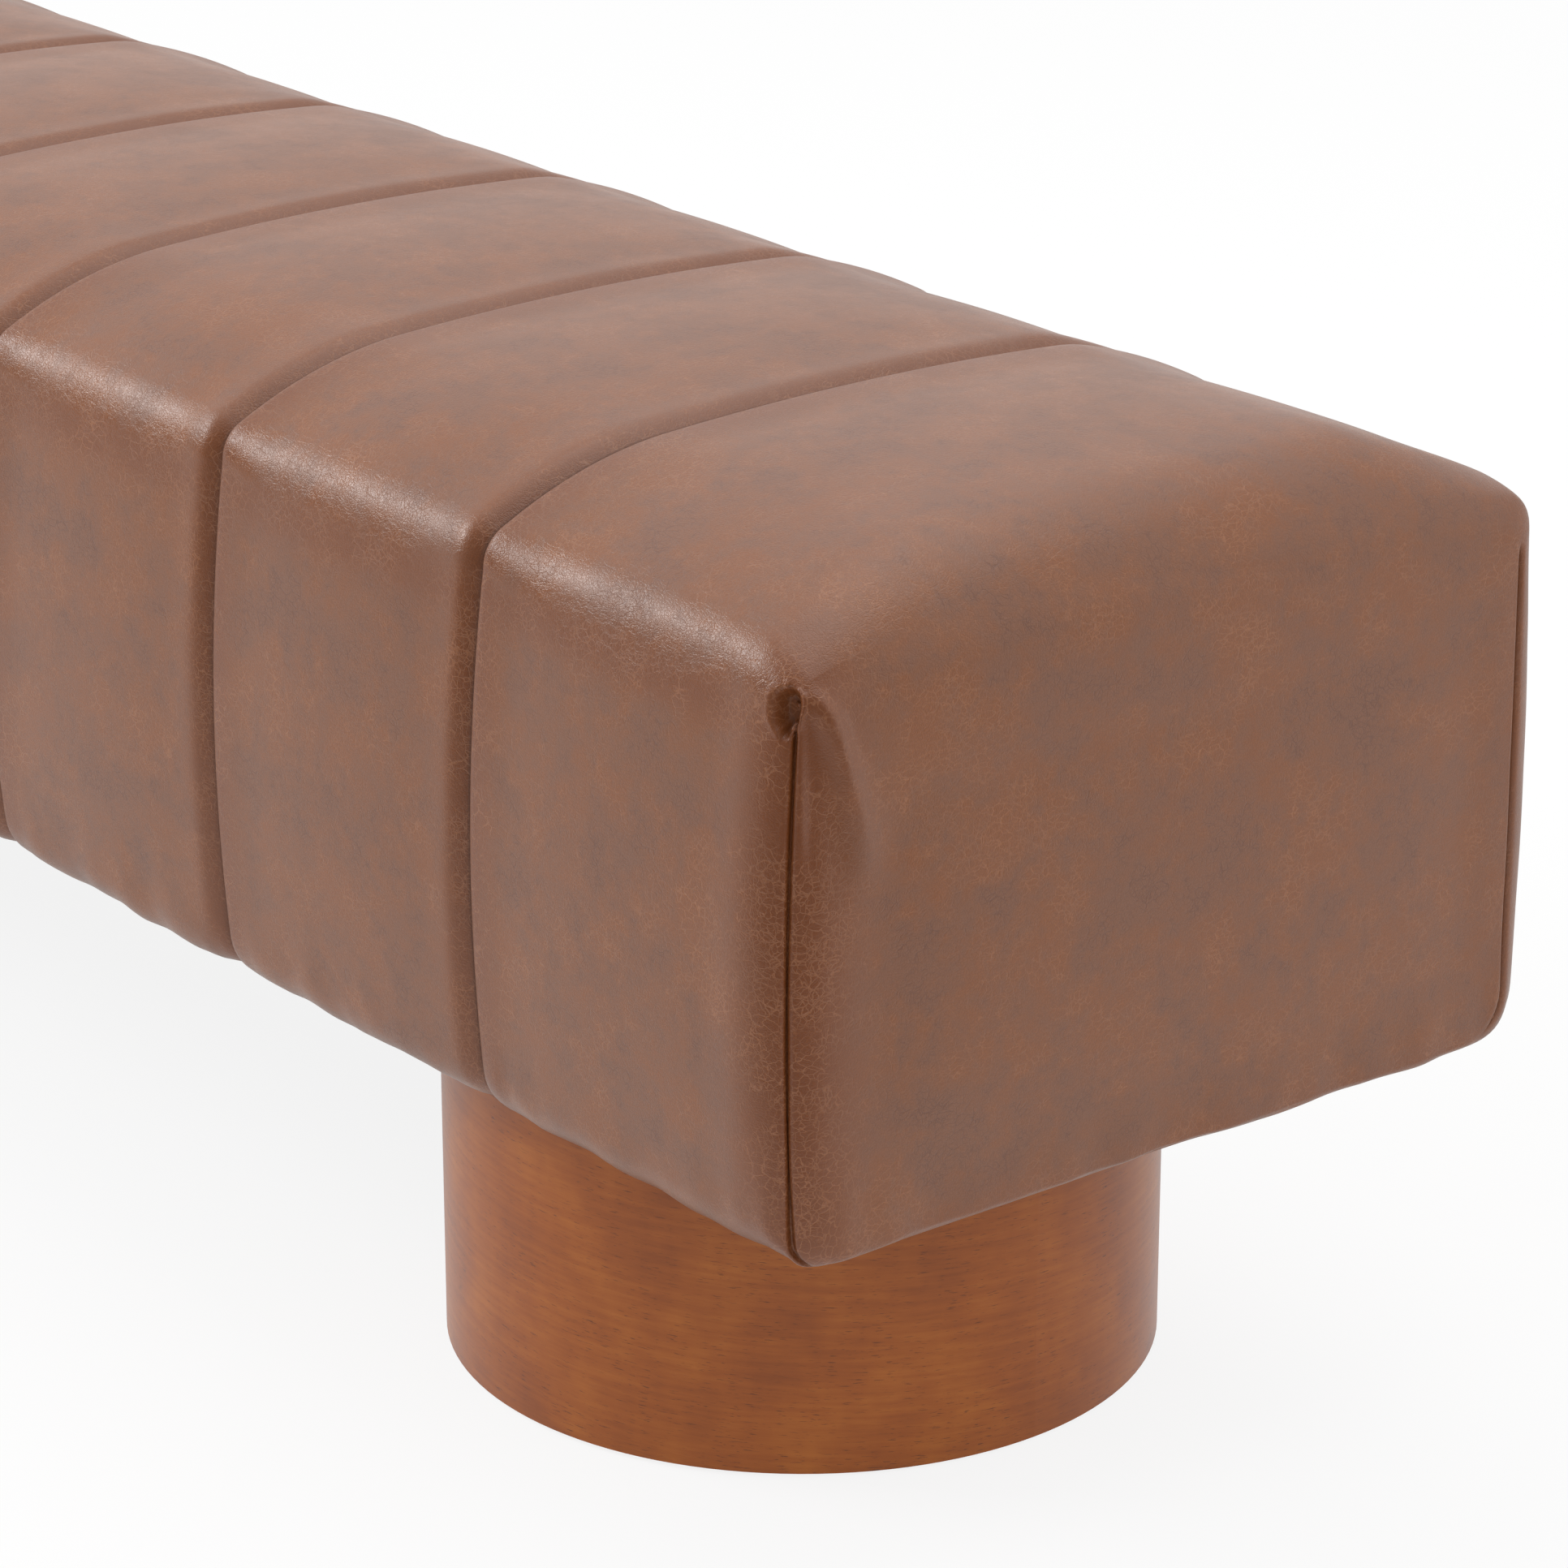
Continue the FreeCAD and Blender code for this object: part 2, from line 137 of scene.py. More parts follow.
# Sewn upright corners: at the front with an open pleat on top, at the back a plain seam near the end face
FRONT_ANGLES = (0, 11, 20, 26, 30, 33, 35.5, 38, 40.2, 42.4, 44.4, 46.2, 47.6, 48.7, 49.4, 50,
                50.6, 51.5, 52.7, 54.4, 56.8, 60, 64, 69, 75, 82, 90)
BACK_ANGLES = (0, 9, 18, 27, 36, 44, 51, 57, 62, 66.3, 70, 73, 75.5, 77.6, 79.2, 80.2,
               81, 81.8, 82.7, 83.8, 85, 86, 87, 87.9, 88.7, 89.4, 90)
FRONT_CREASE_ANGLE = 50
BACK_CREASE_ANGLE = 81
BACK_CREASE_TOP = 391 * MM
BACK_CREASE_FOOT = 8 * MM
BACK_CREASE_FADE = 8 * MM
FRONT_CREASE_FADE = 8 * MM
CORNER_AT = (HALF_LENGTH - 7 * MM, HALF_DEPTH - 13 * MM)
CREASE_DEPTH = 4.5 * MM
CREASE_RUN = 3.6 * MM
CREASE_TOP = 405 * MM
PLEAT_HEIGHT = 17 * MM
PLEAT_HALF_WIDTH = 7.5 * MM
PLEAT_SHIFT = 5 * MM
PLEAT_DEPTH = 8 * MM
PLEAT_LIP = 1.6 * MM
PLEAT_RIM = 1.4 * MM
PLEAT_FLARE = 0.25
PLEAT_START = CORNER_AT[1] - 13 * MM
PLEAT_FADE = 5 * MM
LIP_PLACE = 0.8
RIDGE_HEIGHTS = (0.315, 0.342, 0.374, 0.398, 0.409)
RIDGE_PLACES = (0.033, 0.026, 0.017, 0.009, 0.005)
RIDGE_SWELL = 4.5 * MM
RIDGE_WIDTH = 7 * MM
RIDGE_INSET = 14 * MM
RIDGE_FOOT_FADE = 40 * MM
RIDGE_HEAD_FADE = 14 * MM
RIDGE_START = HALF_LENGTH - 16 * MM
RIDGE_START_FADE = 12 * MM
STRIP_FADE = 4 * MM
STRIP_SHARE = 0.6

# Unevenness of the leather: how often it comes in a metre, and how deep it is
HOLLOW_SCALE, HOLLOW_DEPTH = 8, 0.9 * MM
DIMPLE_SCALE, DIMPLE_DEPTH = 26, 0.25 * MM
DIMPLE_SHIFT = Vector((5, 2, 9))
PUCKER_SCALE, PUCKER_DEPTH = Vector((46, 46, 9)), 2.4 * MM
SMALL_PUCKER_SCALE, SMALL_PUCKER_DEPTH = Vector((110, 110, 0)), 1 * MM
SMALL_PUCKER_SHIFT = Vector((0, 0, 3))
PUCKER_LEVEL = SEAT_BOTTOM + 10 * MM
PUCKER_SPREAD = 22 * MM
UNEVEN_FROM_SEAM = 20 * MM

# Filling of a panel: how far it is held fast from each edge, and how it is pressed out between them
HELD_AT_SEAM = 8 * MM
HELD_AT_CORNER = 16 * MM
HELD_AT_RIM = 18 * MM
HELD_AT_BASE = 6 * MM
HELD_FADE = 40 * MM
HELD_BASE_FADE = 45 * MM
END_FACE_DEPTH = 4 * MM
FILL_PRESSURE = 4
FILL_MOVE = 4 * MM
FILL_START = 1.5 * MM
FILL_FRAMES = 20

# Wear where the leather is drawn taut, which also stands in for painted dark reflections, and the painted
# shade of the seams
SEAM_WEAR_AND_REFLECTION_RUN = 15 * MM
CORNER_WEAR_AND_REFLECTION_RUN = 26 * MM
BACK_CORNER_WEAR_AND_REFLECTION = 0.35
BASE_WEAR, BASE_WEAR_RUN = 0.4, 12 * MM
EDGE_DARK_REFLECTION, EDGE_DARK_REFLECTION_RUN = 0.7, 11 * MM
EDGE_DARK_REFLECTION_START = HALF_DEPTH - 20 * MM
CREVICE_REACH = 5.2 * MM
CREVICE_TOP_REACH = 1.3 * MM
CREVICE_TOP_LEVEL = SEAT_TOP - 50 * MM
CREVICE_TOP_FADE = 20 * MM
CREVICE_FADE = 1.6 * MM
CREVICE_EDGE = 1.2 * MM
CREVICE_EDGE_FADE = 0.8 * MM


def deselect():
    if bpy.context.object and bpy.context.object.mode != "OBJECT":
        bpy.ops.object.mode_set(mode="OBJECT")
    bpy.ops.object.select_all(action="DESELECT")


def activate(piece):
    deselect()
    piece.select_set(True)
    bpy.context.view_layer.objects.active = piece


def apply_modifiers(piece):
    activate(piece)
    for modifier in list(piece.modifiers):
        bpy.ops.object.modifier_apply(modifier=modifier.name)


# Rings round the seat

def line_points(start, end, steps):
    return [start + (end - start) * k / steps for k in range(1, steps + 1)]


def arc_points(start, middle, end, shares):
    """Points at shares of the arc through three places of a plane, given as complex numbers."""
    a, b = middle - start, end - start
    cross = a.real * b.imag - a.imag * b.real
    centre = start - 1j * (abs(a) ** 2 * b - abs(b) ** 2 * a) / (2 * cross)
    sweep = np.angle((end - centre) / (start - centre))
    return [centre + (start - centre) * np.exp(1j * sweep * share) for share in shares]


def even(steps):
    return np.linspace(0, 1, steps + 1)[1:]


def half_ring(half_width, top, bottom, top_radius, base_radius, drop, slope, bend, side_shares):
    """Half of the seat's outline as (y, z) rows, from the middle of the base up one side to the crown."""
    half_turn = (math.pi / 2 - slope) / 2
    foot_y = half_width - SIDE_BOW * bend
    head_y = foot_y - SIDE_LEAN * bend
    head_z = top - drop - top_radius * math.cos(slope)
    edge_centre = complex(head_y - top_radius, head_z)
    foot_centre = complex(foot_y - base_radius, bottom + base_radius)
    base = complex(foot_centre.real, bottom)
    foot = complex(foot_y, foot_centre.imag)
    side = complex(half_width, (foot.imag + head_z) / 2)
    head = complex(head_y, head_z)
    shoulder = edge_centre + top_radius * complex(math.sin(slope), math.cos(slope))
    crown_edge = complex(CROWN_SHARE * half_width, top - CROWN_DROP)
    crown = complex(0, top)

    chord = crown_edge - shoulder
    swing = slope - math.atan2(chord.imag, -chord.real)
    bulge = (shoulder + crown_edge) / 2 - 1j * chord / 2 * math.tan(swing / 2)

    path = [complex(0, bottom)]
    path += line_points(path[-1], base, BASE_STEPS)
    path += arc_points(base, foot_centre + base_radius * np.exp(-1j * math.pi / 4), foot, even(FOOT_STEPS))
    path += arc_points(foot, side, head, side_shares)
    path += arc_points(head, edge_centre + top_radius * np.exp(1j * half_turn), shoulder, even(EDGE_STEPS))
    path += arc_points(shoulder, bulge, crown_edge, even(SHOULDER_STEPS))
    far_edge = complex(-crown_edge.real, crown_edge.imag)
    path += arc_points(crown_edge, crown, far_edge, even(CROWN_STEPS) / 2)
    return np.array([(p.real, p.imag) for p in path])


def whole_ring(x, back, front):
    """Closed ring at a place along the bench: up the back, over the crown and down the front."""
    yz = np.concatenate([back, front[-2:0:-1] * (-1, 1)])
    return np.column_stack([np.full(len(yz), x), yz])


def rounded(distance, run):
    """Share of a rounded edge's drop at a distance from the edge."""
    share = min(max(1 - distance / run, 0), 1)
    return 1 - math.sqrt(1 - share * share)


def bell(distance, run):
    return math.exp(-(distance / run) ** 2)


def smooth_step(value):
    value = min(max(value, 0), 1)
    return value * value * (3 - 2 * value)


def crisp_drop(s):
    return CRISP_DROP * rounded(s, CRISP_RUN)


def sloped_drop(s):
    ramp = SLOPE_SOFTNESS * math.log1p(math.exp((SLOPE_START - s) / SLOPE_SOFTNESS))
    return SLOPE_DROP * ramp / SLOPE_START


def panel_ring(x, drop, to_seam, side_shares, extra=0.0):
    """Ring of a panel: its seam draws it in by drop, and extra turns its edge in below the seam."""
    slack = PANEL_SLACK * max(1 - 2 * to_seam / PITCH, 0) ** 2
    draw = max(1 - to_seam / EDGE_DRAW_RUN, 0) ** 2
    width = HALF_DEPTH - slack - drop * SIDE_DRAW_SHARE - extra
    top = SEAT_TOP - slack - drop - extra
    halves = []
    for radius, shoulder, share in ((BACK_RADIUS, BACK_SHOULDER, BACK_SEAM_SHARE),
                                    (FRONT_RADIUS, FRONT_SHOULDER, FRONT_SEAM_SHARE)):
        radius += (SEAM_RADIUS - radius) * draw
        shoulder -= share * (slack + drop)
        halves.append(half_ring(width, top, SEAT_BOTTOM + extra, radius, BASE_RADIUS, shoulder,
                                SHOULDER_SLOPE, 1, side_shares))
    return whole_ring(x, *halves)


def seam_rings(seam, steps, profile, direction, side_shares):
    """Rings from a seam inwards along a panel, starting with its turned-in edge."""
    start = seam + direction * SEAM_GAP / 2
    rings = [panel_ring(start, profile(0), 0, side_shares, turn) for turn in (SEAM_DEPTH, SEAM_DEPTH / 2)]
    rings += [panel_ring(start + direction * s, profile(s), s, side_shares) for s in steps]
    return rings


def middle_rings(x0, x1, seams, side_shares):
    """Rings over the filled-out middle of a panel."""
    count = round((x1 - x0) / MIDDLE_STEP)
    places = [x0 + (x1 - x0) * k / count for k in range(1, count)]
    rings = []
    for x in places:
        near = min(abs(x - seam) for seam in seams)
        rings.append(panel_ring(x, sloped_drop(near), near, side_shares))
    return rings


def channel_rings(low):
    high = low + PITCH
    left = seam_rings(low, CRISP_STEPS, crisp_drop, 1, PLAIN_SIDE)
    right = seam_rings(high, SLOPE_STEPS, sloped_drop, -1, PLAIN_SIDE)
    middle = middle_rings(low + CRISP_STEPS[-1], high - SLOPE_STEPS[-1], (low, high), PLAIN_SIDE)
    return np.array(left + middle + right[::-1])


def end_ring(x):
    """Ring of the rounded end, at a place along the bench."""
    to_end = HALF_LENGTH - END_DOME - x
    roll = rounded(to_end, END_ROLL_RUN)
    corner = rounded(to_end, CORNER_RUN)
    lift = rounded(to_end, END_BASE_RUN)
    width = HALF_DEPTH - CORNER_INSET * corner
    top = SEAT_TOP - END_ROLL_DROP * roll
    base = SEAT_BOTTOM + END_BASE_RISE * lift
    squareness = smooth_step(corner / SQUARE_CORNER_SHARE)
    slope = np.interp(roll, ROLL_SHARES, ROLL_SLOPES)
    bend = END_SIDE_BEND + (1 - END_SIDE_BEND) * (1 - corner) ** 2
    halves = []
    for radius, shoulders, end_base_radius in ((BACK_RADIUS, ROLL_BACK_SHOULDERS, END_BASE_RADII[0]),
                                               (FRONT_RADIUS, ROLL_FRONT_SHOULDERS, END_BASE_RADII[1])):
        radius = min(radius, np.interp(roll, ROLL_SHARES, ROLL_RADII))
        base_radius = BASE_RADIUS + (end_base_radius - BASE_RADIUS) * squareness
        drop = top - np.interp(roll, ROLL_SHARES, shoulders)
        halves.append(half_ring(width, top, base, radius, base_radius, drop, slope, bend, PLEATED_SIDE))
    return whole_ring(x, *halves)


def corner_ring(front_angle, back_angle):
    """Ring at the upright corners, at its own angle round the front and the back corner."""
    start = HALF_LENGTH - END_DOME - CORNER_RUN
    front = end_ring(start + CORNER_RUN * math.sin(math.radians(front_angle)))
    back = end_ring(start + CORNER_RUN * math.sin(math.radians(back_angle)))
    share = np.array([smooth_step(0.5 + y / HALF_DEPTH) for y in front[:, 1]])[:, None]
    return front + (back - front) * share


def end_rings(steps, profile):
    """Rings of the right end panel, from its seam to the rim of the end face."""
    roll_start = HALF_LENGTH - END_DOME - END_ROLL_RUN
    step = (END_ROLL_RUN - CORNER_RUN) / ROLL_STEPS
    rings = seam_rings(LAST_SEAM, steps, profile, 1, PLEATED_SIDE)
    rings += middle_rings(LAST_SEAM + steps[-1], roll_start, (LAST_SEAM,), PLEATED_SIDE)
    rings += [end_ring(roll_start + step * k) for k in range(ROLL_STEPS)]
    rings += [corner_ring(front, back) for front, back in zip(FRONT_ANGLES, BACK_ANGLES)]
    return np.array(rings)


def end_face_grid(rim):
    """A grid that fills the end face inside its rim, swelling a little in the middle."""
    count = len(rim)
    low_back = CAP_ACROSS // 2
    high_back = low_back + CAP_UP
    high_front = count - high_back
    low_front = count - low_back
    bottom = rim[[k % count for k in range(low_back, low_front - count - 1, -1)]]
    top = rim[high_back:high_front + 1]
    back = rim[low_back:high_back + 1]
    front = rim[list(range(low_front, high_front - 1, -1))]
    u = np.linspace(0, 1, CAP_ACROSS + 1)[:, None, None]
    v = np.linspace(0, 1, CAP_UP + 1)[None, :, None]
    grid = (1 - v) * bottom[:, None] + v * top[:, None] + (1 - u) * back[None] + u * front[None]
    grid -= (1 - u) * (1 - v) * bottom[0] + u * (1 - v) * bottom[-1] + (1 - u) * v * top[0] + u * v * top[-1]
    dome = (16 * u * (1 - u) * v * (1 - v)) ** END_DOME_POWER
    grid[:, :, 0] += END_DOME * dome[:, :, 0]
    return grid


# Creases and unevenness of the leather

def ring_normals(rings):
    along = np.gradient(rings, axis=0)
    around = np.roll(rings, -1, axis=1) - np.roll(rings, 1, axis=1)
    normals = np.cross(around, along)
    length = np.linalg.norm(normals, axis=2, keepdims=True)
    return normals / np.maximum(length, 1e-12)


def front_crease(away, y, z):
    """How deep a front corner's seam and the pleat above it are drawn in, at a distance from the seam."""
    pleat_middle = CREASE_TOP - PLEAT_HEIGHT / 2
    fade = smooth_step((pleat_middle + FRONT_CREASE_FADE / 2 - z) / FRONT_CREASE_FADE)
    depth = CREASE_DEPTH * fade * rounded(abs(away), CREASE_RUN)
    height = (z - pleat_middle) / (PLEAT_HEIGHT / 2)
    half_width = PLEAT_HALF_WIDTH * math.sqrt(max(1 - height * height, 0)) * (1 + PLEAT_FLARE * height)
    if half_width > 0:
        inside = half_width - abs(away + PLEAT_SHIFT)
        at_corner = smooth_step((abs(y) - PLEAT_START) / PLEAT_FADE)
        depth = max(depth, PLEAT_DEPTH * at_corner * smooth_step(inside / PLEAT_RIM))
        depth -= PLEAT_LIP * at_corner * bell(inside / PLEAT_RIM + LIP_PLACE, 1)
    return depth


def back_crease(away, z):
    """How deep a back corner's plain seam is drawn in, at a distance from it."""
    fade = smooth_step((BACK_CREASE_TOP - z) / BACK_CREASE_FADE)
    fade *= smooth_step((z - SEAT_BOTTOM - BACK_CREASE_FOOT) / BACK_CREASE_FADE)
    return CREASE_DEPTH * fade * rounded(abs(away), CREASE_RUN)


def crease_corners(rings):
    """Draws the upright corner seams into the last rings of the end panel, and opens the front pleats."""
    normals = ring_normals(rings)
    first = len(rings) - len(FRONT_ANGLES)
    for k, (front_angle, back_angle) in enumerate(zip(FRONT_ANGLES, BACK_ANGLES), first):
        front_away = math.radians(front_angle - FRONT_CREASE_ANGLE) * CORNER_RUN
        back_away = math.radians(back_angle - BACK_CREASE_ANGLE) * CORNER_RUN
        for j, (y, z) in enumerate(rings[k, :, 1:].copy()):
            if abs(y) < HALF_DEPTH / 2 or not BASE_LEVEL <= z <= CREASE_TOP + PLEAT_RIM:
                continue
            depth = back_crease(back_away, z) if y > 0 else front_crease(front_away, y, z)
            rings[k, j] -= normals[k, j] * depth
    return rings


def drag_ridge(point):
    """The soft ridge from a front pleat down the end face, and the flatter strip between it and the seam."""
    x, y, z = point
    if y > 0 or not RIDGE_HEIGHTS[0] < z < RIDGE_HEIGHTS[-1]:
        return 0
    from_seam = HALF_DEPTH - RIDGE_INSET - abs(y)
    ridge = np.interp(z, RIDGE_HEIGHTS, RIDGE_PLACES)
    strength = smooth_step((z - RIDGE_HEIGHTS[0]) / RIDGE_FOOT_FADE)
    strength *= smooth_step((RIDGE_HEIGHTS[-1] - z) / RIDGE_HEAD_FADE)
    swell = bell(from_seam - ridge, RIDGE_WIDTH)
    strip = smooth_step((ridge - from_seam) / RIDGE_WIDTH) * smooth_step(from_seam / STRIP_FADE)
    on_face = smooth_step((abs(x) - RIDGE_START) / RIDGE_START_FADE)
    return RIDGE_SWELL * strength * on_face * (swell - STRIP_SHARE * strip)


def to_seam(point):
    return min(abs(point[0] - seam) for seam in SEAMS)


def to_corner(point):
    return math.hypot(abs(point[0]) - CORNER_AT[0], abs(point[1]) - CORNER_AT[1])


def unevenness(point):
    """How far the leather stands off its even form: slow hollows, and puckers along the lower edge.
    It dies out at a seam, and on the base."""
    if point.z <= BASE_LEVEL:
        return 0
    hollows = noise.noise(point * HOLLOW_SCALE) * HOLLOW_DEPTH
    dimples = noise.noise(point * DIMPLE_SCALE + DIMPLE_SHIFT) * DIMPLE_DEPTH
    puckers = noise.noise(point * PUCKER_SCALE) * PUCKER_DEPTH
    puckers += noise.noise(point * SMALL_PUCKER_SCALE + SMALL_PUCKER_SHIFT) * SMALL_PUCKER_DEPTH
    low = bell(point.z - PUCKER_LEVEL, PUCKER_SPREAD)
    total = hollows + dimples + low * puckers + drag_ridge(point)
    return total * min(to_seam(point) / UNEVEN_FROM_SEAM, 1)


# Meshes

def ring_faces(count, size):
    faces = []
    for k in range(count - 1):
        for j in range(size):
            n = (j + 1) % size
            faces.append([k * size + j, k * size + n, (k + 1) * size + n, (k + 1) * size + j])
    return faces


def over_dust_cover(points):
    """True where a face lies in the opening under the seat."""
    x, y, z = np.mean(points, axis=0)
    return z < OPENING_LEVEL and abs(x) < OPENING_HALF_LENGTH and abs(y) < OPENING_HALF_DEPTH


def held(point):
    """How firmly the leather is held at a place, from 1 at a seam, a corner or the base to 0 in the open."""
    x, y, z = abs(point[0]), abs(point[1]), point[2]
    base = 1 - smooth_step((z - SEAT_BOTTOM - HELD_AT_BASE) / HELD_BASE_FADE)
    if x > HALF_LENGTH - END_FACE_DEPTH:
        inside = min(CORNER_AT[1] - y, END_FACE_TOP - z) - HELD_AT_RIM
        return max(1 - smooth_step(inside / HELD_FADE), base)
    seam = 1 - smooth_step((to_seam(point) - HELD_AT_SEAM) / HELD_FADE)
    corner = 1 - smooth_step((to_corner(point) - HELD_AT_CORNER) / HELD_FADE)
    roll = smooth_step((x - HALF_LENGTH + END_ROLL_RUN) / (END_ROLL_RUN - CORNER_RUN))
    return max(seam, corner, base, roll)


def drawn(point):
    """How hard the leather is drawn at a place, which wears away its haze. Near seams and corners the darker
    tan is also painted dark reflection, and under the long top edges it is painted dark reflection only.
    """
    y, z = point[1], point[2]
    seam = bell(to_seam(point), SEAM_WEAR_AND_REFLECTION_RUN)
    corner = bell(to_corner(point), CORNER_WEAR_AND_REFLECTION_RUN) * (BACK_CORNER_WEAR_AND_REFLECTION if y > 0 else 1)
    base = BASE_WEAR * bell(z - SEAT_BOTTOM, BASE_WEAR_RUN)
    # painted dark reflection, not wear: a darker strip under the long top edges
    edge = EDGE_DARK_REFLECTION * bell(z - END_FACE_TOP, EDGE_DARK_REFLECTION_RUN) if abs(y) > EDGE_DARK_REFLECTION_START else 0
    return max(seam, corner, base, edge)


def painted_seam_shade(point):
    """Painted shade: 1 deep in a seam, where no light reaches, to 0 outside it."""
    x, z = point[0], point[2]
    beyond = min((seam - x for seam in SEAMS if seam > x), default=PITCH)
    reach = CREVICE_REACH + CREVICE_TOP_REACH * smooth_step((z - CREVICE_TOP_LEVEL) / CREVICE_TOP_FADE)
    sloped = smooth_step((reach - beyond) / CREVICE_FADE)
    edge = smooth_step((CREVICE_EDGE - to_seam(point)) / CREVICE_EDGE_FADE)
    return max(sloped, edge)


def fill_out(piece):
    """Fills a panel with a short cloth simulation: held at its seams, pressed outwards between them."""
    mesh = piece.data
    grip = piece.vertex_groups.new(name="held")
    rest = [vertex.co.copy() for vertex in mesh.vertices]
    for vertex in mesh.vertices:
        weight = held(vertex.co)
        grip.add([vertex.index], weight, "REPLACE")
        vertex.co -= vertex.normal * FILL_START * (1 - weight)
    cloth = piece.modifiers.new("fill", "CLOTH")
    cloth.settings.quality = 3
    cloth.settings.mass = 0.4
    cloth.settings.tension_stiffness = 25
    cloth.settings.compression_stiffness = 25
    cloth.settings.bending_stiffness = 4
    cloth.settings.use_pressure = True
    cloth.settings.uniform_pressure_force = FILL_PRESSURE
    cloth.settings.effector_weights.gravity = 0
    cloth.settings.vertex_group_mass = "held"
    cloth.collision_settings.use_collision = False
    scene = bpy.context.scene
    for number in range(1, FILL_FRAMES + 1):
        scene.frame_set(number)
    filled = piece.evaluated_get(bpy.context.evaluated_depsgraph_get()).data
    moves = [vertex.co - start for vertex, start in zip(filled.vertices, rest)]
    piece.modifiers.remove(cloth)
    scene.frame_set(1)
    for vertex, start, move in zip(mesh.vertices, rest, moves):
        if move.length > FILL_MOVE:
            move.length = FILL_MOVE
        vertex.co = start + move
    piece.vertex_groups.clear()


def leather_panel(name, points, faces):
    """A cover panel: a sheet of leather that is filled out, smoothed, given its thickness and shaded."""
    faces = [face for face in faces if not over_dust_cover(points[face])]
    mesh = bpy.data.meshes.new(name)
    mesh.from_pydata([tuple(p) for p in points], [], faces)
    piece = bpy.data.objects.new(name, mesh)
    bpy.context.collection.objects.link(piece)
    activate(piece)
    bpy.ops.object.mode_set(mode="EDIT")
    bpy.ops.mesh.select_all(action="SELECT")
    bpy.ops.mesh.delete_loose()
    bpy.ops.object.mode_set(mode="OBJECT")
    moves = [vertex.normal * unevenness(vertex.co) for vertex in mesh.vertices]
    for vertex, move in zip(mesh.vertices, moves):
        vertex.co += move
    fill_out(piece)
    for kind in (drawn, painted_seam_shade):
        wear_map = mesh.attributes.new(kind.__name__, "FLOAT", "POINT")
        wear_map.data.foreach_set("value", [kind(vertex.co) for vertex in mesh.vertices])
    smooth = piece.modifiers.new("smooth", "SUBSURF")
    smooth.levels = smooth.render_levels = 1
    sheet = piece.modifiers.new("thickness", "SOLIDIFY")
    sheet.thickness = LEATHER
    sheet.offset = -1
    apply_modifiers(piece)
    bpy.ops.object.shade_smooth()
    return piece


def channel_panel(index):
    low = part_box(f"channel_cover_{index}")[0][0]
    rings = channel_rings(low)
    count, size = rings.shape[:2]
    return leather_panel(f"channel_panel_{index}", rings.reshape(-1, 3), ring_faces(count, size))


def end_panel(side):
    """An end panel: its rings, closed by the end face. The left one mirrors the right one."""
    right = side == "right"
    rings = end_rings(CRISP_STEPS if right else SLOPE_STEPS, crisp_drop if right else sloped_drop)
    rings = crease_corners(rings)
    count, size = rings.shape[:2]
    grid = end_face_grid(rings[-1])
    points = list(rings.reshape(-1, 3))
    last = (count - 1) * size
    low_back = CAP_ACROSS // 2
    index = -np.ones(grid.shape[:2], int)
    for b in range(CAP_UP + 1):
        index[0, b] = last + low_back + b
        index[-1, b] = last + size - low_back - b
    for a in range(CAP_ACROSS + 1):
        index[a, 0] = last + (low_back - a) % size
        index[a, -1] = last + low_back + CAP_UP + a
    for a in range(1, CAP_ACROSS):
        for b in range(1, CAP_UP):
            index[a, b] = len(points)
            points.append(grid[a, b])
    faces = ring_faces(count, size)
    for a in range(CAP_ACROSS):
        for b in range(CAP_UP):
            faces.append([index[a, b], index[a, b + 1], index[a + 1, b + 1], index[a + 1, b]])
    points = np.array(points)
    if not right:
        points = points * (-1, 1, 1)
        faces = [face[::-1] for face in faces]
    return leather_panel(f"{side}_end_panel", points, faces)


# Materials

class Field:
    """A socket of a node tree. Operators on fields and numbers add Math nodes."""

    def __init__(self, shader, socket):
        self.shader, self.socket = shader, socket

    def math(self, operation, *others):
        values = {k: value for k, value in enumerate((self,) + others)}
        return self.shader.node("ShaderNodeMath", {"operation": operation}, values)

    def __add__(self, other):
        return self.math("ADD", other)

    def __sub__(self, other):
        return self.math("SUBTRACT", other)

    def __mul__(self, other):
        return self.math("MULTIPLY", other)

    def __rsub__(self, other):
        return self.shader.node("ShaderNodeMath", {"operation": "SUBTRACT"}, {0: other, 1: self})

    __radd__ = __add__
    __rmul__ = __mul__


